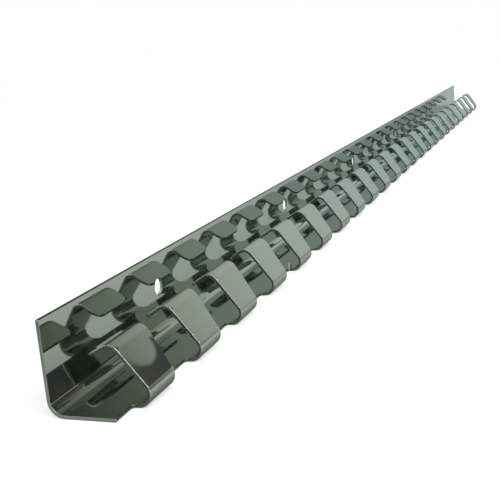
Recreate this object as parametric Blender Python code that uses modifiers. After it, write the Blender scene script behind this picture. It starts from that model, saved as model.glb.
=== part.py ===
"""Hook rail of a PVC strip curtain: one stainless sheet, slotted along its front edge and bent.

Metres, +Z up, +X along the rail. The origin is the middle of the rail's box, on its underside.
The tall wall stands at +Y and is screwed to the building. The hooks stand at -Y.
"""
import math

import bmesh
import bpy
from mathutils import Matrix, Vector

# The rail as a whole
HOOK_COUNT = 24
HOOK_PITCH = 0.041
SHEET_THICKNESS = 0.0012

# The angle: wall, back bend and base
WALL_HEIGHT = 0.032
BACK_BEND_RADIUS = 0.0057
BASE_DEPTH = 0.0255

# The screw holes in the wall, centred behind every fourth slot
SCREW_HOLE_DIAMETER = 0.0065
SCREW_HOLE_HEIGHT = 0.019
PITCHES_PER_SCREW_HOLE = 4

# The slots between the hooks, cut a little way into the flat base, with rounded corners there
SLOT_SETBACK = 0.002
SLOT_CORNER_SHARE = 0.8

# One hook: front bend, shank, crown and tip. Radii are those of the outer face.
FRONT_BEND_RADIUS = 0.0048
FRONT_BEND_TURN = math.radians(124)
SHANK_LENGTH = 0.0144
CROWN_RADIUS = 0.0041
CROWN_TURN = math.radians(89)
TIP_LENGTH = 0.0072
TIP_CORNER_SHARE = 0.56
ROOT_WIDTH = 0.0182
CROWN_WIDTH = 0.0216
TIP_WIDTH = 0.0232

# Where each hook meets the base: the flat it keeps before its bend, and the fine gap behind that
ROOT_LAND = 0.0005
ROOT_GAP = 0.0003

# How far a cutter runs past the sheet
CUT_OVERRUN = 0.002

# Facets in the round stretches
BACK_BEND_STEPS = 6
FRONT_BEND_STEPS = 8
CROWN_STEPS = 6
CORNER_STEPS = 4
SCREW_HOLE_SIDES = 24
SHARP_ANGLE = math.radians(40)

# Polished stainless steel
STEEL_COLOUR = (0.55, 0.6, 0.555, 1.0)
STEEL_ROUGHNESS = 0.1

# Sizes that follow from those above
RAIL_LENGTH = HOOK_COUNT * HOOK_PITCH
RAIL_DEPTH = BASE_DEPTH + FRONT_BEND_RADIUS
WALL_BACK_FACE = RAIL_DEPTH / 2
SLOT_WIDTH = HOOK_PITCH - ROOT_WIDTH
SLOT_CORNER_RADIUS = SLOT_CORNER_SHARE * SLOT_SETBACK
TIP_CORNER_RADIUS = TIP_CORNER_SHARE * TIP_LENGTH
DOWN = math.radians(-90)
RIGHT_ANGLE = math.radians(90)


def clear_scene():
    """Start from an empty scene."""
    for thing in list(bpy.data.objects):
        bpy.data.objects.remove(thing, do_unlink=True)


def new_collection(name):
    """A collection under the scene's own."""
    collection = bpy.data.collections.new(name)
    bpy.context.scene.collection.children.link(collection)
    return collection


def polished_steel(name):
    """The bright, faintly green finish of the sheet."""
    material = bpy.data.materials.new(name)
    material.use_nodes = True
    shader = material.node_tree.nodes["Principled BSDF"]
    shader.inputs["Base Color"].default_value = STEEL_COLOUR
    shader.inputs["Metallic"].default_value = 1.0
    shader.inputs["Roughness"].default_value = STEEL_ROUGHNESS
    return material


def bend(start, heading, radius, turn, steps):
    """Points after start round a bend of the outer face, turning up from the heading."""
    points = []
    for step in range(1, steps + 1):
        angle = heading + turn * step / steps
        across = radius * (math.sin(angle) - math.sin(heading))
        up = radius * (math.cos(heading) - math.cos(angle))
        points.append((start[0] + across, start[1] + up))
    return points


def straight(start, heading, length):
    """The point at the end of a flat stretch of the outer face."""
    return (start[0] + length * math.cos(heading), start[1] + length * math.sin(heading))


def place(x, point):
    """A point of the section, as depth from the wall's back face and height, in the part's frame."""
    depth, height = point
    return Vector((x, WALL_BACK_FACE - depth, height))


def outer_face(name, rows):
    """An open strip down the sheet's outer face, from rows of a section point and a half width."""
    surface = bmesh.new()
    point, half_width = rows[0]
    ends = [surface.verts.new(place(side * half_width, point)) for side in (-1, 1)]
    edge = surface.edges.new(ends)
    for point, half_width in rows[1:]:
        grown = bmesh.ops.extrude_edge_only(surface, edges=[edge])["geom"]
        edge = next(item for item in grown if isinstance(item, bmesh.types.BMEdge))
        ends = sorted(edge.verts, key=lambda vertex: vertex.co.x)
        for side, vertex in zip((-1, 1), ends):
            vertex.co = place(side * half_width, point)
    surface.normal_update()
    mesh = bpy.data.meshes.new(name)
    surface.to_mesh(mesh)
    surface.free()
    return mesh


def sheet_piece(name, rows, collection):
    """A piece of bent sheet: the strip of its outer face, thickened towards the inside."""
    piece = bpy.data.objects.new(name, outer_face(name, rows))
    collection.objects.link(piece)
    thickness = piece.modifiers.new("thickness", "SOLIDIFY")
    thickness.thickness = SHEET_THICKNESS
    thickness.offset = 1.0
    thickness.use_even_offset = True
    return piece


def finish_piece(piece):
    """Settle the piece's modifiers, shade its bends smooth and give it its steel."""
    evaluated = piece.evaluated_get(bpy.context.evaluated_depsgraph_get())
    mesh = bpy.data.meshes.new_from_object(evaluated)
    piece.modifiers.clear()
    piece.data = mesh
    mesh.name = piece.name
    mesh.shade_smooth()
    mesh.set_sharp_from_angle(angle=SHARP_ANGLE)
    mesh.materials.clear()
    mesh.materials.append(polished_steel(piece.name + "_steel"))


def add_cut(piece, cutter):
    """Cut the piece with every body of the cutter."""
    cut = piece.modifiers.new(cutter.name, "BOOLEAN")
    cut.operation = "DIFFERENCE"
    cut.solver = "EXACT"
    cut.object = cutter


def cutter_object(name, solid, collection):
    """A hidden cutter made from a bmesh, which is freed."""
    mesh = bpy.data.meshes.new(name)
    solid.to_mesh(mesh)
    solid.free()
    cutter = bpy.data.objects.new(name, mesh)
    cutter.hide_render = True
    cutter.display_type = "WIRE"
    collection.objects.link(cutter)
    return cutter


def slot_cutters(collection):
    """Slots on both sides of every hook. The outer two are half off the rail, so that rails join up."""
    solid = bmesh.new()
    length = SLOT_SETBACK + SLOT_CORNER_RADIUS + CUT_OVERRUN
    size = Matrix.Diagonal((SLOT_WIDTH, length, SHEET_THICKNESS + 2 * CUT_OVERRUN, 1.0))
    centre_y = WALL_BACK_FACE - BASE_DEPTH + SLOT_SETBACK - length / 2
    for index in range(HOOK_COUNT + 1):
        centre_x = index * HOOK_PITCH - RAIL_LENGTH / 2
        centre = Matrix.Translation((centre_x, centre_y, SHEET_THICKNESS / 2))
        block = bmesh.ops.create_cube(solid, size=1.0, matrix=centre @ size)
        edges = {edge for vertex in block["verts"] for edge in vertex.link_edges}
        upright = [edge for edge in edges if edge.verts[0].co.xy == edge.verts[1].co.xy]
        bmesh.ops.bevel(
            solid, geom=upright, offset=SLOT_CORNER_RADIUS, offset_type="OFFSET",
            segments=CORNER_STEPS, profile=0.5, affect="EDGES",
        )
    return cutter_object("slot_cutters", solid, collection)


def screw_hole_cutters(collection):
    """Round holes through the wall, each behind a slot, where a screwdriver reaches them."""
    solid = bmesh.new()
    spacing = PITCHES_PER_SCREW_HOLE * HOOK_PITCH
    centre_y = WALL_BACK_FACE - SHEET_THICKNESS / 2
    for index in range(HOOK_COUNT // PITCHES_PER_SCREW_HOLE):
        centre_x = (index + 0.5) * spacing - RAIL_LENGTH / 2
        centre = Matrix.Translation((centre_x, centre_y, SCREW_HOLE_HEIGHT))
        bmesh.ops.create_cone(
            solid, cap_ends=True, segments=SCREW_HOLE_SIDES,
            radius1=SCREW_HOLE_DIAMETER / 2, radius2=SCREW_HOLE_DIAMETER / 2,
            depth=SHEET_THICKNESS + 2 * CUT_OVERRUN,
            matrix=centre @ Matrix.Rotation(RIGHT_ANGLE, 4, "X"),
        )
    return cutter_object("screw_hole_cutters", solid, collection)


def mounting_angle(collection, cutters):
    """The tall wall, the back bend and the flat base, up to the roots of the hooks."""
    wall_foot = (0.0, BACK_BEND_RADIUS)
    section = [(0.0, WALL_HEIGHT), wall_foot]
    section += bend(wall_foot, DOWN, BACK_BEND_RADIUS, RIGHT_ANGLE, BACK_BEND_STEPS)
    section.append((BASE_DEPTH - ROOT_LAND - ROOT_GAP, 0.0))
    rows = [(point, RAIL_LENGTH / 2) for point in section]
    angle = sheet_piece("mounting_angle", rows, collection)
    add_cut(angle, slot_cutters(cutters))
    add_cut(angle, screw_hole_cutters(cutters))
    return angle


def hook_section():
    """The outer face of one hook, in three stretches: its foot, its crown and its tip."""
    bend_start = (BASE_DEPTH, 0.0)
    foot = [(BASE_DEPTH - ROOT_LAND, 0.0), bend_start]
    foot += bend(bend_start, 0.0, FRONT_BEND_RADIUS, FRONT_BEND_TURN, FRONT_BEND_STEPS)
    shank_top = straight(foot[-1], FRONT_BEND_TURN, SHANK_LENGTH)
    crown = [shank_top] + bend(shank_top, FRONT_BEND_TURN, CROWN_RADIUS, CROWN_TURN, CROWN_STEPS)
    heading = FRONT_BEND_TURN + CROWN_TURN
    tip = []
    for step in range(CORNER_STEPS + 1):
        rounding = TIP_CORNER_RADIUS * (1 - math.sin(RIGHT_ANGLE * step / CORNER_STEPS))
        tip.append(straight(crown[-1], heading, TIP_LENGTH - rounding))
    return foot, crown, tip


def hook_rows():
    """The hook's section with its half width at each point: narrow at the root, wide at the tip."""
    foot, crown, tip = hook_section()
    rows = [(point, ROOT_WIDTH / 2) for point in foot]
    rows.append((crown[0], CROWN_WIDTH / 2))
    crown_length = CROWN_RADIUS * CROWN_TURN
    flare = (TIP_WIDTH - CROWN_WIDTH) / 2 / (crown_length + TIP_LENGTH)
    for step, point in enumerate(crown[1:], start=1):
        rows.append((point, CROWN_WIDTH / 2 + flare * crown_length * step / CROWN_STEPS))
    for step, point in enumerate(tip):
        turn = RIGHT_ANGLE * step / CORNER_STEPS
        rounding = TIP_CORNER_RADIUS * (1 - math.sin(turn))
        cut = TIP_CORNER_RADIUS * (1 - math.cos(turn))
        rows.append((point, TIP_WIDTH / 2 - flare * rounding - cut))
    return rows


def hook(number, collection):
    """One hook, in its place along the rail."""
    piece = sheet_piece(f"hook_{number:02d}", hook_rows(), collection)
    piece.location.x = (number - 0.5) * HOOK_PITCH - RAIL_LENGTH / 2
    return piece


def build_rail():
    """The whole rail: the angle and its row of hooks."""
    clear_scene()
    rail = new_collection("strip_curtain_hook_rail")
    cutters = new_collection("cutters")
    pieces = [mounting_angle(rail, cutters)]
    pieces += [hook(number, rail) for number in range(1, HOOK_COUNT + 1)]
    bpy.context.view_layer.update()
    for piece in pieces:
        finish_piece(piece)


build_rail()
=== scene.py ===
"""Finish of a hook rail for strip curtains: one bright stainless sheet, cut flat, eased along its
edges and bent.

Each piece is cut as a flat blank, x along the rail and y down the sheet from the wall's top edge,
and then bent to the rail's section. Metres, +Z up, the wall at +Y and the hooks at -Y.
"""
import math

import bmesh
import bpy
from mathutils import Matrix, Vector


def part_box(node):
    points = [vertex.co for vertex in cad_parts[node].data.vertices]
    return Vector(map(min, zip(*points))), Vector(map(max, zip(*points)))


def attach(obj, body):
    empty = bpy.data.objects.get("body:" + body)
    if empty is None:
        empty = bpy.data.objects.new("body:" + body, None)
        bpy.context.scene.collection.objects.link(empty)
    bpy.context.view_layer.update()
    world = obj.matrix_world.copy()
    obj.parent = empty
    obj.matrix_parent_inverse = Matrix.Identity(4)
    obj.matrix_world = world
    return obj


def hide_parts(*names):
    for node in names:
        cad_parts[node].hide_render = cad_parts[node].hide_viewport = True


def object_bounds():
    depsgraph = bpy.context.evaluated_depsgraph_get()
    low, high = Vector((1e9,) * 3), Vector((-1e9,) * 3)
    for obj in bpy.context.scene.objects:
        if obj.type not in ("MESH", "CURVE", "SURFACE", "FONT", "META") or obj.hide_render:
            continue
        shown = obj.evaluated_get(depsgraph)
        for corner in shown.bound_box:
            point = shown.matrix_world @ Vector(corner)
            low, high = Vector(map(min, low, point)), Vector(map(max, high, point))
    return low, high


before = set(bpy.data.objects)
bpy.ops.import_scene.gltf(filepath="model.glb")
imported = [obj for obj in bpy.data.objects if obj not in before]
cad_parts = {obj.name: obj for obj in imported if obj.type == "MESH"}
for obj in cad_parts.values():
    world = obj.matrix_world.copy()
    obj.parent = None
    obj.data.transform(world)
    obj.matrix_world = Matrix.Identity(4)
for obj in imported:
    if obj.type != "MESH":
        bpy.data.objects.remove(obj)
cad_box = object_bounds()

# Taken from the frame
RAIL_LOW, RAIL_HIGH = (Vector(corner) for corner in cad_box)
WALL_HEIGHT = RAIL_HIGH.z
WALL_BACK_FACE = RAIL_HIGH.y
RAIL_LENGTH = RAIL_HIGH.x - RAIL_LOW.x
HOOKS = sorted(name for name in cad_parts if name.startswith("hook_"))
HOOK_PITCH = RAIL_LENGTH / len(HOOKS)

# The sheet, its bends (radii of the outer face) and its flats
SHEET_THICKNESS = 0.0012
BACK_BEND_RADIUS = 0.0057
BASE_DEPTH = 0.0255
FRONT_BEND_RADIUS = 0.0048
FRONT_BEND_TURN = math.radians(124)
SHANK_LENGTH = 0.0144
CROWN_RADIUS = 0.0041
CROWN_TURN = math.radians(89)
TIP_LENGTH = 0.0072
BEND_STEP = math.radians(3)

# The cuts in the blank
ROOT_WIDTH = 0.0182
CROWN_WIDTH = 0.0216
TIP_WIDTH = 0.0232
TIP_CORNER_RADIUS = 0.004
SLOT_SETBACK = 0.002
SLOT_CORNER_RADIUS = 0.0016
SCREW_HOLE_RADIUS = 0.00325
SCREW_HOLE_HEIGHT = 0.019
PITCHES_PER_SCREW_HOLE = 4
END_CORNER_RADIUS = 0.0004
CORNER_STEP = math.radians(10)
ROUND_STEPS = 48

# Where hook and base part, in the flat just before the hook's bend, how far a blank overruns it, and
# its two sides
SEAM_SETBACK = 0.00065
SEAM_OVERRUN = 0.003
WALL_SIDE, TIP_SIDE = -1, 1

# Crowns that were bent less or more than the rest
CROWN_TURNS = {"hook_01": math.radians(82), "hook_04": math.radians(92)}

# The worn arris along every cut edge
ARRIS_RADIUS = 0.00022
ARRIS_STEPS = 2

# The sheet's surfaces, in the order of its materials, told apart by how far they lean in the blank
BRIGHT_FACE, CUT_FACE, WORN_ARRIS = range(3)
CUT_FACE_LEAN = 0.2
BRIGHT_FACE_LEAN = 0.98

# How near two points are the same one, and how much the widest faces decide the shading beside them
SAME_PLACE = 0.000002
WIDE_FACES_FIRST = 100

DOWN = math.radians(-90)
RIGHT_ANGLE = math.radians(90)


def flat(length):
    """A flat stretch of the sheet: its length and no turn."""
    return (length, 0.0)


def bend(radius, turn):
    """A bent stretch of the sheet: the length of its outer face, and its turn."""
    return (radius * turn, turn)


STRETCHES = [
    flat(WALL_HEIGHT - BACK_BEND_RADIUS),
    bend(BACK_BEND_RADIUS, RIGHT_ANGLE),
    flat(BASE_DEPTH - BACK_BEND_RADIUS),
    bend(FRONT_BEND_RADIUS, FRONT_BEND_TURN),
    flat(SHANK_LENGTH),
    bend(CROWN_RADIUS, CROWN_TURN),
    flat(TIP_LENGTH),
]

# Where the first three stretches of a hook stand in that row
FRONT_BEND, SHANK, CROWN = range(3, 6)


def down_to(stretch):
    """How far down the blank a stretch starts."""
    return sum(length for length, turn in STRETCHES[:stretch])


HOOK_BEND_START = down_to(FRONT_BEND)
SHANK_START = down_to(SHANK)
CROWN_START = down_to(CROWN)
TIP_END = down_to(len(STRETCHES))
SLOT_FLOOR = HOOK_BEND_START - SLOT_SETBACK
SEAM = HOOK_BEND_START - SEAM_SETBACK
SCREW_HOLE_DOWN = WALL_HEIGHT - SCREW_HOLE_HEIGHT


def stretches_of(hook):
    """The stretches of a hook: a crown that turns less leaves more of the blank to the tip."""
    crown = bend(CROWN_RADIUS, CROWN_TURNS.get(hook, CROWN_TURN))
    tip = flat(TIP_END - CROWN_START - crown[0])
    return [*STRETCHES[:CROWN], crown, tip]


def across(heading):
    """The direction through the sheet, towards the inside of its bends."""
    return Vector((-math.sin(heading), math.cos(heading)))


def folded(stretches, down, through):
    """Where a point of the blank goes: its depth from the wall's back face, and its height."""
    point = Vector((0.0, WALL_HEIGHT))
    heading = DOWN
    for length, turn in stretches:
        run = min(down, length)
        if turn:
            centre = point + across(heading) * length / turn
            heading += turn * run / length
            point = centre - across(heading) * length / turn
        else:
            point = point + Vector((math.cos(heading), math.sin(heading))) * run
        down -= run
        if down <= 0.0:
            break
    return point + across(heading) * through


def bend_lines(stretches, first, last):
    """Where the blank is scored, so that it bends smoothly between the first and last place."""
    lines = []
    start = 0.0
    for length, turn in stretches:
        steps = max(1, round(turn / BEND_STEP))
        lines += [start + length * step / steps for step in range(steps)]
        start += length
    return [line for line in lines if first < line < last]


def rounded(corners):
    """An outline's points, from corners that each hold a place and a radius."""
    points = []
    for index, (place, radius) in enumerate(corners):
        place = Vector(place)
        if not radius:
            points.append(place)
            continue
        back = (Vector(corners[index - 1][0]) - place).normalized()
        ahead = (Vector(corners[(index + 1) % len(corners)][0]) - place).normalized()
        half = back.angle(ahead) / 2
        centre = place + (back + ahead).normalized() * radius / math.sin(half)
        start = place + back * radius / math.tan(half) - centre
        sweep = (math.pi - 2 * half) * math.copysign(1.0, ahead.cross(back))
        steps = max(2, round(abs(sweep) / CORNER_STEP))
        points += [centre + Matrix.Rotation(sweep * step / steps, 2) @ start for step in range(steps + 1)]
    return points


def circle(middle, radius):
    """The points of a circle."""
    turns = [2 * math.pi * step / ROUND_STEPS for step in range(ROUND_STEPS)]
    return [Vector(middle) + radius * Vector((math.cos(turn), math.sin(turn))) for turn in turns]


def hook_outline():
    """A hook's blank, centred on x = 0, with the slots' corners beside its root."""
    right = [
        ((ROOT_WIDTH / 2 + SEAM_OVERRUN, SLOT_FLOOR), 0.0),
        ((ROOT_WIDTH / 2, SLOT_FLOOR), SLOT_CORNER_RADIUS),
        ((ROOT_WIDTH / 2, SHANK_START), 0.0),
        ((CROWN_WIDTH / 2, CROWN_START), 0.0),
        ((TIP_WIDTH / 2, TIP_END), TIP_CORNER_RADIUS),
    ]
    left = [((-x, down), radius) for (x, down), radius in reversed(right)]
    return rounded(right + left)


def angle_outline():
    """The blank of wall and base, with a tongue to each hook that overruns the seam."""
    half = RAIL_LENGTH / 2
    corners = [((half, 0.0), END_CORNER_RADIUS), ((half, SLOT_FLOOR), END_CORNER_RADIUS)]
    for index in reversed(range(len(HOOKS))):
        centre = (index + 0.5) * HOOK_PITCH - half
        for side in (1, -1):
            edge = centre + side * ROOT_WIDTH / 2
            tongue = [((edge, SLOT_FLOOR), SLOT_CORNER_RADIUS), ((edge, SEAM + SEAM_OVERRUN), 0.0)]
            corners += tongue[::side]
    corners += [((-half, SLOT_FLOOR), END_CORNER_RADIUS), ((-half, 0.0), END_CORNER_RADIUS)]
    return rounded(corners)


def screw_holes():
    """The outlines of the holes in the wall, each behind a slot."""
    spacing = PITCHES_PER_SCREW_HOLE * HOOK_PITCH
    count = len(HOOKS) // PITCHES_PER_SCREW_HOLE
    middles = [((index + 0.5) * spacing - RAIL_LENGTH / 2, SCREW_HOLE_DOWN) for index in range(count)]
    return [circle(middle, SCREW_HOLE_RADIUS) for middle in middles]


def flat_blank(name, outline, holes=()):
    """A flat piece of sheet with a worn arris on every edge, as a bmesh whose outer face is at z = 0."""
    curve = bpy.data.curves.new(name, "CURVE")
    curve.dimensions = "2D"
    curve.fill_mode = "BOTH"
    curve.extrude = SHEET_THICKNESS / 2 - ARRIS_RADIUS
    curve.bevel_depth = ARRIS_RADIUS
    curve.bevel_resolution = ARRIS_STEPS
    curve.offset = -ARRIS_RADIUS
    for points in (outline, *holes):
        spline = curve.splines.new("POLY")
        spline.points.add(len(points) - 1)
        for spline_point, (x, down) in zip(spline.points, points):
            spline_point.co = (x, down, 0.0, 1.0)
        spline.use_cyclic_u = True
    carrier = bpy.data.objects.new(name, curve)
    bpy.context.scene.collection.objects.link(carrier)
    evaluated = carrier.evaluated_get(bpy.context.evaluated_depsgraph_get())
    mesh = bpy.data.meshes.new_from_object(evaluated)
    blank = bmesh.new()
    blank.from_mesh(mesh)
    bpy.data.objects.remove(carrier)
    bpy.data.curves.remove(curve)
    bpy.data.meshes.remove(mesh)
    bmesh.ops.remove_doubles(blank, verts=blank.verts, dist=SAME_PLACE)
    bmesh.ops.translate(blank, verts=blank.verts, vec=(0.0, 0.0, SHEET_THICKNESS / 2))
    tell_surfaces(blank)
    return blank


def tell_surfaces(blank):
    """Give each face of a flat blank the material of its surface."""
    blank.normal_update()
    for face in blank.faces:
        lean = abs(face.normal.z)
        if lean > BRIGHT_FACE_LEAN:
            face.material_index = BRIGHT_FACE
        elif lean < CUT_FACE_LEAN:
            face.material_index = CUT_FACE
        else:
            face.material_index = WORN_ARRIS


def lay_out(blank):
    """Keep each point's place in the blank as UV maps: on the sheet, and on its cut edge."""
    rolled = blank.loops.layers.uv.new("rolled")
    sheared = blank.loops.layers.uv.new("sheared")
    for face in blank.faces:
        for loop in face.loops:
            x, down, through = loop.vert.co
            loop[rolled].uv = (x, down)
            loop[sheared].uv = (x + down, through / SHEET_THICKNESS)


def everything(blank):
    """All that a bmesh holds, for an operator that takes the whole of it."""
    return blank.verts[:] + blank.edges[:] + blank.faces[:]


def trim_at_seam(blank, kept_side):
    """Cut the overrun off square at the seam and close the cut."""
    cut = bmesh.ops.bisect_plane(
        blank, geom=everything(blank), dist=SAME_PLACE, plane_co=(0.0, SEAM, 0.0),
        plane_no=(0.0, -kept_side, 0.0), clear_outer=True,
    )
    rim = [item for item in cut["geom_cut"] if isinstance(item, bmesh.types.BMEdge)]
    bmesh.ops.holes_fill(blank, edges=rim)


def bent_mesh(name, flat_sheet, stretches, finishes):
    """A copy of the blank scored along its bend lines and bent, as a mesh with its materials."""
    sheet = flat_sheet.copy()
    downs = [vertex.co.y for vertex in sheet.verts]
    for line in bend_lines(stretches, min(downs), max(downs)):
        bmesh.ops.bisect_plane(
            sheet, geom=everything(sheet), dist=SAME_PLACE, plane_co=(0.0, line, 0.0),
            plane_no=(0.0, 1.0, 0.0),
        )
    lay_out(sheet)
    for vertex in sheet.verts:
        depth, height = folded(stretches, vertex.co.y, vertex.co.z)
        vertex.co = (vertex.co.x, WALL_BACK_FACE - depth, height)
    bmesh.ops.recalc_face_normals(sheet, faces=sheet.faces)
    mesh = bpy.data.meshes.new(name)
    sheet.to_mesh(mesh)
    sheet.free()
    mesh.shade_smooth()
    for finish in finishes:
        mesh.materials.append(finish)
    return mesh


def sheet_piece(name, mesh, node):
    """A piece of the sheet in the scene, standing for a node of the frame."""
    piece = bpy.data.objects.new(name, mesh)
    bpy.context.scene.collection.objects.link(piece)
    normals = piece.modifiers.new("flat faces stay flat", "WEIGHTED_NORMAL")
    normals.weight = WIDE_FACES_FIRST
    normals.keep_sharp = True
    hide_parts(node)
    return piece


def make_angle(finishes):
    """The wall, the back bend and the base."""
    blank = flat_blank("angle", angle_outline(), screw_holes())
    trim_at_seam(blank, WALL_SIDE)
    mesh = bent_mesh("angle", blank, STRETCHES, finishes)
    blank.free()
    piece = sheet_piece("angle_sheet", mesh, "mounting_angle")
    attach(piece, "root")


def make_hooks(finishes):
    """The hooks, each in its place on the frame. Those bent alike share one mesh."""
    blank = flat_blank("hook", hook_outline())
    trim_at_seam(blank, TIP_SIDE)
    usual_mesh = bent_mesh("hook", blank, STRETCHES, finishes)
    for name in HOOKS:
        mesh = usual_mesh
        if name in CROWN_TURNS:
            mesh = bent_mesh(name + "_bent", blank, stretches_of(name), finishes)
        low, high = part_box(name)
        piece = sheet_piece(name + "_sheet", mesh, name)
        piece.location.x = (low.x + high.x) / 2
        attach(piece, "root")
    blank.free()


# Where a Mix node has its colour sockets
MIX_AMOUNT, FIRST_COLOUR, SECOND_COLOUR, MIXED_COLOUR = 0, 6, 7, 2


class Socket:
    """A shader socket that takes arithmetic. Each operation adds a Math node."""

    def __init__(self, tree, output):
        self.tree = tree
        self.output = output

    def math(self, operation, *values):
        """Any Math node."""
        return self.tree.node("ShaderNodeMath", {"operation": operation}, dict(enumerate(values)))

    def __add__(self, other):
        return self.math("ADD", self, other)

    def __sub__(self, other):
        return self.math("SUBTRACT", self, other)

    def __rsub__(self, other):
        return self.math("SUBTRACT", other, self)

    def __mul__(self, other):
        return self.math("MULTIPLY", self, other)

    def __abs__(self):
        return self.math("ABSOLUTE", self)

    __radd__ = __add__
    __rmul__ = __mul__

    def at_least(self, other):
        """The larger of this and another."""
        return self.math("MAXIMUM", self, other)

    def axis(self, name):
        """One of the three numbers of a place."""
        return self.tree.node("ShaderNodeSeparateXYZ", inputs={0: self}, output=name)


def set_stops(elements, stops):
    """Give a ramp its stops, each a position and a colour."""
    while len(elements) < len(stops):
        elements.new(1.0)
    for element, (place, colour) in zip(elements, stops):
        element.position = place
        element.color = colour


class Shader:
    """A node tree that is written as expressions."""

    def __init__(self, owner):
        owner.use_nodes = True
        self.tree = owner.node_tree
        self.tree.nodes.clear()

    def node(self, kind, settings=None, inputs=None, output=0):
        """Add a node: its settings first, then the values or links of its sockets. Gives one output."""
        made = self.tree.nodes.new(kind)
        for name, value in (settings or {}).items():
            if name == "stops":
                set_stops(made.color_ramp.elements, value)
            else:
                setattr(made, name, value)
        for name, value in (inputs or {}).items():
            socket = made.inputs[name]
            if isinstance(value, Socket):
                self.tree.links.new(value.output, socket)
            else:
                socket.default_value = value
        return Socket(self, made.outputs[output]) if made.outputs else None

    def ramp(self, position, stops):
        """A colour ramp: its stops are pairs of a position and a colour."""
        return self.node("ShaderNodeValToRGB", {"stops": stops}, {"Fac": position})

    def between(self, value, start, end):
        """A share: 0 up to the start, 1 from the end on, and eased between them."""
        inputs = {"Value": value, "From Min": start, "From Max": end}
        return self.node("ShaderNodeMapRange", {"interpolation_type": "SMOOTHSTEP"}, inputs)

    def tint(self, amount, first, second):
        """Two colours mixed by an amount."""
        inputs = {MIX_AMOUNT: amount, FIRST_COLOUR: first, SECOND_COLOUR: second}
        return self.node("ShaderNodeMix", {"data_type": "RGBA"}, inputs, output=MIXED_COLOUR)

    def noise(self, place, scale, detail, roughness):
        """Smooth noise from 0 to 1 with its features about 1 / scale metres apart."""
        inputs = {"Vector": place, "Scale": scale, "Detail": detail, "Roughness": roughness}
        return self.node("ShaderNodeTexNoise", inputs=inputs)

    def vectors(self, operation, *values, output=0):
        """Any Vector Math node."""
        settings = {"operation": operation}
        return self.node("ShaderNodeVectorMath", settings, dict(enumerate(values)), output)

    def stretched(self, place, scale):
        """A place scaled by a different number along each axis."""
        return self.vectors("MULTIPLY", place, scale)

    def distance(self, place, other):
        """How far two places are apart."""
        return self.vectors("DISTANCE", place, other, output="Value")


# Bright stainless steel
STEEL_COLOUR = (0.55, 0.6, 0.555, 1.0)
ROLLED_COLOUR = (0.525, 0.57, 0.53, 1.0)
HANDLED_COLOUR = (0.54, 0.57, 0.51, 1.0)
STEEL_EDGE_TINT = (0.7, 0.72, 0.72, 1.0)
STEEL_ROUGHNESS = 0.028
HANDLED_ROUGHNESS = 0.07
ROLLED_ROUGHNESS = 0.012
HAZE_ROUGHNESS = 0.45
STEEL_HAZE = 0.02
HANDLED_HAZE = 0.05

# Its handling, rolling lines and waves: each noise's scale, detail and roughness, the range of it
# that counts, and how deep it marks the sheet
HANDLING_NOISE = (38.0, 4.0, 0.6)
HANDLED_FROM_TO = (0.5, 0.72)
ROLLED_STRETCH = (6.0, 2600.0, 1.0)
ROLLED_NOISE = (1.0, 3.0, 0.7)
ROLLED_FROM_TO = (0.3, 0.7)
ROLLED_DEPTH = 0.00000003
WAVE_NOISE = (45.0, 1.0, 0.5)
WAVE_DEPTH = 0.000006

# The sheared edge: a burnished band beside the outer face, then torn metal. The shares are of the
# sheet's thickness.
BURNISHED_COLOUR = (0.34, 0.37, 0.335, 1.0)
TORN_COLOUR = (0.15, 0.17, 0.15, 1.0)
BURNISHED_SHARE = 0.38
TEARING_SHARE = 0.12
TEAR_WANDER_SHARE = 0.16
CUT_ROUGHNESS = 0.2
TORN_ROUGHNESS = 0.2
MARKED_ROUGHNESS = 0.15
CUT_HAZE = 0.2
TORN_HAZE = 0.3
SHEAR_STRETCH = (9000.0, 1.5, 1.0)
SHEAR_NOISE = (1.0, 3.0, 0.6)
SHEAR_DEPTH = 0.00001

# The arris: worn bare beside the outer face and painted bright there, partly a painted highlight,
# with a dull burr beside the inner face, and painted dark along the wall's top edge as painted shade.
# The painted highlight is brightest at the rail's near (-X) end, and the rest is spared a share of
# it. The fades are distances from that end and down from the top edge, and the burr starts between
# two shares of the sheet's thickness.
WORN_AND_HIGHLIT_COLOUR = (0.8, 0.84, 0.77, 1.0)
DULL_COLOUR = (0.42, 0.45, 0.41, 1.0)
BURR_COLOUR = (0.24, 0.26, 0.235, 1.0)
TOP_EDGE_SHADE_COLOUR = (0.17, 0.18, 0.16, 1.0)
NEAR_END_HIGHLIGHT_FADES = (0.07, 0.11)
SPARED_HIGHLIGHT = 0.75
TOP_EDGE_SHADE_FADES = (0.0005, 0.001)
BURR_SHARES = (0.4, 0.6)
WEAR_NOISE = (900.0, 3.0, 0.6)
WORN_FROM_TO = (0.35, 0.65)
ARRIS_ROUGHNESS = 0.1
WEAR_ROUGHNESS = 0.12
WEAR_HAZE = 0.15

# The ends of the rail, sawn and dressed: evenly dull from edge to edge. The dressing fades in between
# two depths from the end.
END_COLOUR = (0.47, 0.51, 0.47, 1.0)
END_DEPTHS = (0.0006, 0.0003)

# The screw holes, drilled, with their bores painted bright as a painted glint
BORE_GLINT_COLOUR = (0.74, 0.77, 0.72, 1.0)


def place_on_rail(shader):
    """Where a point is along the rail and down its blank."""
    blank = shader.node("ShaderNodeUVMap", {"uv_map": "rolled"})
    hook = shader.node("ShaderNodeObjectInfo", output="Location")
    return shader.vectors("ADD", blank, hook)


def dressed_end(shader, place, colour):
    """The colour of an edge, with the ends of the rail dressed."""
    inner, outer = [RAIL_LENGTH / 2 - depth for depth in END_DEPTHS]
    return shader.tint(shader.between(abs(place.axis("X")), inner, outer), colour, END_COLOUR)


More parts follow.
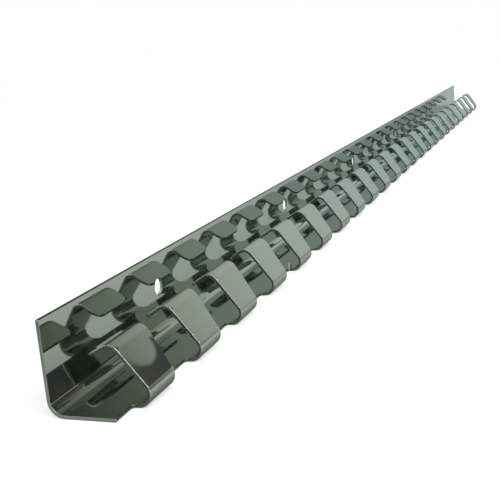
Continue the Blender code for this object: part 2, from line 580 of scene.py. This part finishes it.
def steel(shader, material, colour, roughness, haze, normal):
    """Finish a steel material: a polished share and a hazy one."""
    polished, hazy = [
        shader.node(
            "ShaderNodeBsdfPrincipled",
            inputs={
                "Base Color": colour, "Metallic": 1.0, "Roughness": level, "Normal": normal,
                "Specular Tint": STEEL_EDGE_TINT,
            },
        )
        for level in (roughness, HAZE_ROUGHNESS)
    ]
    surface = shader.node("ShaderNodeMixShader", inputs={0: haze, 1: polished, 2: hazy})
    shader.node("ShaderNodeOutputMaterial", inputs={"Surface": surface})
    return material


def bump(shader, height, depth, normal=None):
    """The surface raised by a height from 0 to 1."""
    inputs = {"Height": height, "Distance": depth}
    if normal:
        inputs["Normal"] = normal
    return shader.node("ShaderNodeBump", inputs=inputs)


def bright_face():
    """The rolled faces: nearly a mirror, faintly wavy, with rolling lines and the haze of handling."""
    material = bpy.data.materials.new("bright_face")
    shader = Shader(material)
    place = place_on_rail(shader)
    handled = shader.between(shader.noise(place, *HANDLING_NOISE), *HANDLED_FROM_TO)
    lines = shader.noise(shader.stretched(place, ROLLED_STRETCH), *ROLLED_NOISE)
    rolled = shader.tint(shader.between(lines, *ROLLED_FROM_TO), STEEL_COLOUR, ROLLED_COLOUR)
    colour = shader.tint(handled, rolled, HANDLED_COLOUR)
    dulled = handled * (HANDLED_ROUGHNESS - STEEL_ROUGHNESS)
    roughness = dulled + lines * ROLLED_ROUGHNESS + STEEL_ROUGHNESS
    haze = handled * HANDLED_HAZE + STEEL_HAZE
    waves = bump(shader, shader.noise(place, *WAVE_NOISE), WAVE_DEPTH)
    return steel(shader, material, colour, roughness, haze, bump(shader, lines, ROLLED_DEPTH, waves))


def cut_face():
    """The sheared edges: burnished, then torn, with fine marks across the sheet."""
    material = bpy.data.materials.new("cut_face")
    shader = Shader(material)
    place = place_on_rail(shader)
    edge = shader.node("ShaderNodeUVMap", {"uv_map": "sheared"})
    marks = shader.noise(shader.stretched(edge, SHEAR_STRETCH), *SHEAR_NOISE)
    through = edge.axis("Y") + marks * TEAR_WANDER_SHARE - TEAR_WANDER_SHARE / 2
    torn = shader.between(through, BURNISHED_SHARE, BURNISHED_SHARE + TEARING_SHARE)
    from_hole = abs(place.axis("Y") - SCREW_HOLE_DOWN)
    # Painted glint: the screw holes' bores are coloured bright
    bore_glint = shader.between(from_hole, 2 * SCREW_HOLE_RADIUS, SCREW_HOLE_RADIUS)
    sheared = shader.tint(torn, BURNISHED_COLOUR, TORN_COLOUR)
    colour = dressed_end(shader, place, shader.tint(bore_glint, sheared, BORE_GLINT_COLOUR))
    roughness = torn * TORN_ROUGHNESS + marks * MARKED_ROUGHNESS + CUT_ROUGHNESS
    haze = torn * TORN_HAZE + CUT_HAZE
    return steel(shader, material, colour, roughness, haze, bump(shader, marks, SHEAR_DEPTH))


def arris_wear_and_highlight():
    """The arris between face and cut: bright where worn and as a painted highlight, and dull elsewhere.
    """
    material = bpy.data.materials.new("arris_wear_and_highlight")
    shader = Shader(material)
    place = place_on_rail(shader)
    edge = shader.node("ShaderNodeUVMap", {"uv_map": "sheared"})
    wear = shader.noise(shader.node("ShaderNodeTexCoord", output="Object"), *WEAR_NOISE)
    # Painted highlight: the arris is painted brightest at the rail's near (-X) end and less bright beyond
    # it
    highlit_till, less_highlit_from = [reach - RAIL_LENGTH / 2 for reach in NEAR_END_HIGHLIGHT_FADES]
    spared_highlight = shader.between(place.axis("X"), highlit_till, less_highlit_from) * SPARED_HIGHLIGHT
    bare_and_highlit = shader.between(wear, *WORN_FROM_TO) * (1 - spared_highlight)
    worn = shader.tint(bare_and_highlit, DULL_COLOUR, WORN_AND_HIGHLIT_COLOUR)
    burred = shader.tint(shader.between(edge.axis("Y"), *BURR_SHARES), worn, BURR_COLOUR)
    # Painted shade: the arris is painted dark along the wall's top edge
    below_top = shader.between(place.axis("Y"), *TOP_EDGE_SHADE_FADES)
    colour = dressed_end(shader, place, shader.tint(below_top, TOP_EDGE_SHADE_COLOUR, burred))
    roughness = wear * WEAR_ROUGHNESS + ARRIS_ROUGHNESS
    return steel(shader, material, colour, roughness, wear * WEAR_HAZE, bump(shader, wear, SHEAR_DEPTH))


# The floor
FLOOR_SIZE = 8.0
FLOOR_COLOUR = (0.8, 0.8, 0.8, 1.0)
FLOOR_GLOW = (0.45, 0.45, 0.45, 1.0)
FLOOR_IN_STEEL = (0.11, 0.12, 0.11, 1.0)

# The floor's painted sheen as the steel shows it: a glow that is darker where the floor is met
# steeply, near the rail, as painted shade, and dimmer where it is met nearly along it. Each stop is
# how flatly the floor is met, from 0 straight down to 1 along it, and a colour.
EVEN_BLEND = 0.5
FLOOR_SHEEN = [
    (0.0, (0.0, 0.0, 0.0, 1.0)),
    (0.4, (0.12, 0.13, 0.12, 1.0)),
    (0.6, (0.26, 0.28, 0.25, 1.0)),
    (0.67, (0.31, 0.34, 0.3, 1.0)),
    (0.71, (0.39, 0.43, 0.38, 1.0)),
    (0.775, (0.46, 0.5, 0.45, 1.0)),
    (0.83, (0.48, 0.53, 0.49, 1.0)),
    (0.875, (0.46, 0.51, 0.48, 1.0)),
    (0.9, (0.4, 0.44, 0.41, 1.0)),
    (0.92, (0.29, 0.3, 0.27, 1.0)),
    (0.95, (0.18, 0.18, 0.155, 1.0)),
]

# How far from the rail the floor fades, as the camera sees it and as the steel shows it
FLOOR_FADES = (0.5, 2.0)
FLOOR_FADES_IN_STEEL = (0.06, 0.11)

# The light
WHITE = (1.0, 1.0, 1.0, 1.0)
BLACK = (0.0, 0.0, 0.0, 1.0)
WORLD_LIGHT = 0.75
MIRROR_BOUNCES = 16
LAMP_POWER = 14.0
LAMP_SIZE = 1.6
LAMP_PLACE = Vector((-0.9, -1.3, 1.3))

# The studio as the steel shows it: a white backdrop beyond the rail, dark flags round it, bright
# walls at the sides and a dimmer room behind the camera. Each stop is an angle from the
# backdrop's middle and a colour.
BACKDROP_MIDDLE = Vector((1.0, 0.0, 0.07))
BACKDROP = [
    (0.0, (0.57, 0.72, 0.71, 1.0)),
    (14.0, (0.66, 0.76, 0.73, 1.0)),
    (19.5, (0.65, 0.705, 0.655, 1.0)),
    (25.5, (0.53, 0.57, 0.505, 1.0)),
    (28.7, (0.44, 0.475, 0.41, 1.0)),
    (30.5, (0.36, 0.39, 0.33, 1.0)),
    (32.0, (0.292, 0.315, 0.26, 1.0)),
    (33.5, (0.235, 0.25, 0.2, 1.0)),
    (35.0, (0.185, 0.195, 0.155, 1.0)),
    (36.5, (0.12, 0.125, 0.1, 1.0)),
    (38.0, (0.055, 0.055, 0.045, 1.0)),
    (50.0, (0.08, 0.085, 0.068, 1.0)),
    (70.0, (0.6, 0.64, 0.6, 1.0)),
    (95.0, (0.8, 0.85, 0.8, 1.0)),
    (125.0, (0.35, 0.37, 0.34, 1.0)),
    (155.0, (0.2, 0.21, 0.19, 1.0)),
]


def half_apart(angle):
    """Half the distance between the ends of two unit directions an angle in degrees apart."""
    return math.sin(math.radians(angle) / 2)


def square(name, size, material):
    """A flat square about its own middle."""
    mesh = bpy.data.meshes.new(name)
    sheet = bmesh.new()
    bmesh.ops.create_grid(sheet, x_segments=1, y_segments=1, size=size / 2)
    sheet.to_mesh(mesh)
    sheet.free()
    mesh.materials.append(material)
    piece = bpy.data.objects.new(name, mesh)
    bpy.context.scene.collection.objects.link(piece)
    return piece


def matt(shader, colour, glow):
    """A matt surface with a glow of its own."""
    return shader.node(
        "ShaderNodeBsdfPrincipled",
        inputs={
            "Base Color": colour, "Roughness": 1.0, "Specular IOR Level": 0.0,
            "Emission Color": glow, "Emission Strength": 1.0,
        },
    )


def rays(shader):
    """Two shares: 1 where the camera looks, and 1 where steel or glass mirrors."""
    camera, glossy, through = [
        shader.node("ShaderNodeLightPath", output=name)
        for name in ("Is Camera Ray", "Is Glossy Ray", "Is Transmission Ray")
    ]
    return camera, glossy.at_least(through)


def distance_from_rail(shader):
    """How far a point of the floor is from the line that the rail lies on."""
    place = shader.node("ShaderNodeTexCoord", output="Object")
    beyond = (abs(place.axis("X")) - RAIL_LENGTH / 2).at_least(0.0)
    away = shader.node("ShaderNodeCombineXYZ", inputs={"X": beyond, "Y": place.axis("Y")})
    return shader.vectors("LENGTH", away, output="Value")


def pale_floor():
    """A pale floor that keeps the rail's shadow and fades into the white behind it."""
    material = bpy.data.materials.new("pale_floor")
    shader = Shader(material)
    camera, mirrored = rays(shader)
    seen = matt(shader, FLOOR_COLOUR, shader.tint(camera, BLACK, FLOOR_GLOW))
    flatly_met = shader.node("ShaderNodeLayerWeight", inputs={"Blend": EVEN_BLEND}, output="Facing")
    in_steel = matt(shader, FLOOR_IN_STEEL, shader.ramp(flatly_met, FLOOR_SHEEN))
    near = shader.node("ShaderNodeMixShader", inputs={0: mirrored, 1: seen, 2: in_steel})
    white = shader.node("ShaderNodeEmission", inputs={"Color": WHITE})
    open_air = shader.node("ShaderNodeBsdfTransparent")
    far = shader.node("ShaderNodeMixShader", inputs={0: camera, 1: open_air, 2: white})
    away = distance_from_rail(shader)
    faded = shader.between(away, *FLOOR_FADES)
    faded_in_steel = shader.between(away, *FLOOR_FADES_IN_STEEL)
    fade = mirrored * faded_in_steel + (1 - mirrored) * faded
    surface = shader.node("ShaderNodeMixShader", inputs={0: fade, 1: near, 2: far})
    shader.node("ShaderNodeOutputMaterial", inputs={"Surface": surface})
    piece = square("floor", FLOOR_SIZE, material)


def studio_round_it():
    """White behind the rail, and the studio round it as the steel shows it."""
    world = bpy.data.worlds.new("studio")
    bpy.context.scene.world = world
    shader = Shader(world)
    way = shader.node("ShaderNodeTexCoord", output="Generated")
    away = shader.distance(way, BACKDROP_MIDDLE.normalized())
    in_steel = shader.ramp(away * 0.5, [(half_apart(angle), colour) for angle, colour in BACKDROP])
    camera, mirrored = rays(shader)
    light, white, shown = [
        shader.node("ShaderNodeBackground", inputs={"Color": colour, "Strength": strength})
        for colour, strength in ((WHITE, WORLD_LIGHT), (WHITE, 1.0), (in_steel, 1.0))
    ]
    plain = shader.node("ShaderNodeMixShader", inputs={0: camera, 1: light, 2: white})
    surface = shader.node("ShaderNodeMixShader", inputs={0: mirrored, 1: plain, 2: shown})
    shader.node("ShaderNodeOutputWorld", inputs={"Surface": surface})


# A dark round card that only the steel shows, with an oval bite out of it and soft edges: a painted
# reflection, which gives the first hook its dark patch. It faces the first hook. The two middles are
# measured on it, x to the left and y up as the hook sees it, and the bite's middle after its squeeze.
CARD_PLACE = Vector((0.1486, -0.3774, 0.2293))
CARD_SIZE = 0.17
CARD_MIDDLE = (-0.006, -0.0195, 0.0)
CARD_RADIUS = 0.057
BITE_MIDDLE = (0.0205, 0.0183, 0.0)
BITE_RADIUS = 0.0215
BITE_SQUEEZE = (1.0, 0.779, 1.0)
CARD_SOFTNESS = 0.002
CARD_COLOUR = (0.068, 0.068, 0.068, 1.0)


def disc(shader, place, middle, radius):
    """A share: 1 within a circle and 0 beyond its soft edge."""
    return shader.between(shader.distance(place, middle), radius + CARD_SOFTNESS, radius - CARD_SOFTNESS)


def dark_card():
    """The card: a square that shows only where its disc is not bitten."""
    material = bpy.data.materials.new("dark_card")
    shader = Shader(material)
    place = shader.node("ShaderNodeTexCoord", output="Object")
    unbitten = 1 - disc(shader, shader.stretched(place, BITE_SQUEEZE), BITE_MIDDLE, BITE_RADIUS)
    dark = disc(shader, place, CARD_MIDDLE, CARD_RADIUS) * unbitten
    glow = shader.node("ShaderNodeEmission", inputs={"Color": CARD_COLOUR})
    open_air = shader.node("ShaderNodeBsdfTransparent")
    surface = shader.node("ShaderNodeMixShader", inputs={0: dark, 1: open_air, 2: glow})
    shader.node("ShaderNodeOutputMaterial", inputs={"Surface": surface})
    low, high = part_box(HOOKS[0])
    piece = square("dark_card", CARD_SIZE, material)
    piece.location = CARD_PLACE
    piece.rotation_euler = (CARD_PLACE - (low + high) / 2).to_track_quat("Z", "Y").to_euler()
    piece.visible_camera = False
    piece.visible_diffuse = False
    piece.visible_shadow = False


def soft_lamp():
    """A large soft lamp above and in front."""
    lamp = bpy.data.lights.new("soft_lamp", "AREA")
    lamp.energy = LAMP_POWER
    lamp.size = LAMP_SIZE
    holder = bpy.data.objects.new("soft_lamp", lamp)
    holder.location = LAMP_PLACE
    holder.rotation_euler = (-LAMP_PLACE).to_track_quat("-Z", "Y").to_euler()
    holder.visible_camera = False
    bpy.context.scene.collection.objects.link(holder)


# The camera, close to the near end of the rail
CAMERA_PLACE = (-0.71214, -0.14015, 0.10726)
CAMERA_TURN = (math.radians(77.074), math.radians(5.062), math.radians(-70.336))
SENSOR_WIDTH = 36.0
FOCAL_PIXELS = 896.3
PICTURE_PIXELS = 500
NEAREST_SEEN = 0.01


def set_camera():
    """The view of the photograph."""
    camera = bpy.data.cameras.new("camera")
    camera.sensor_width = SENSOR_WIDTH
    camera.lens = SENSOR_WIDTH * FOCAL_PIXELS / PICTURE_PIXELS
    camera.clip_start = NEAREST_SEEN
    holder = bpy.data.objects.new("camera", camera)
    holder.location = CAMERA_PLACE
    holder.rotation_euler = CAMERA_TURN
    bpy.context.scene.collection.objects.link(holder)
    bpy.context.scene.camera = holder


bpy.context.scene.view_settings.view_transform = "Standard"
# Steel mirrors steel here, so light is followed through more reflections than usual
bpy.context.scene.cycles.glossy_bounces = MIRROR_BOUNCES
bpy.context.scene.cycles.max_bounces = MIRROR_BOUNCES
steel_finishes = [bright_face(), cut_face(), arris_wear_and_highlight()]
make_angle(steel_finishes)
make_hooks(steel_finishes)
pale_floor()
studio_round_it()
dark_card()
soft_lamp()
set_camera()
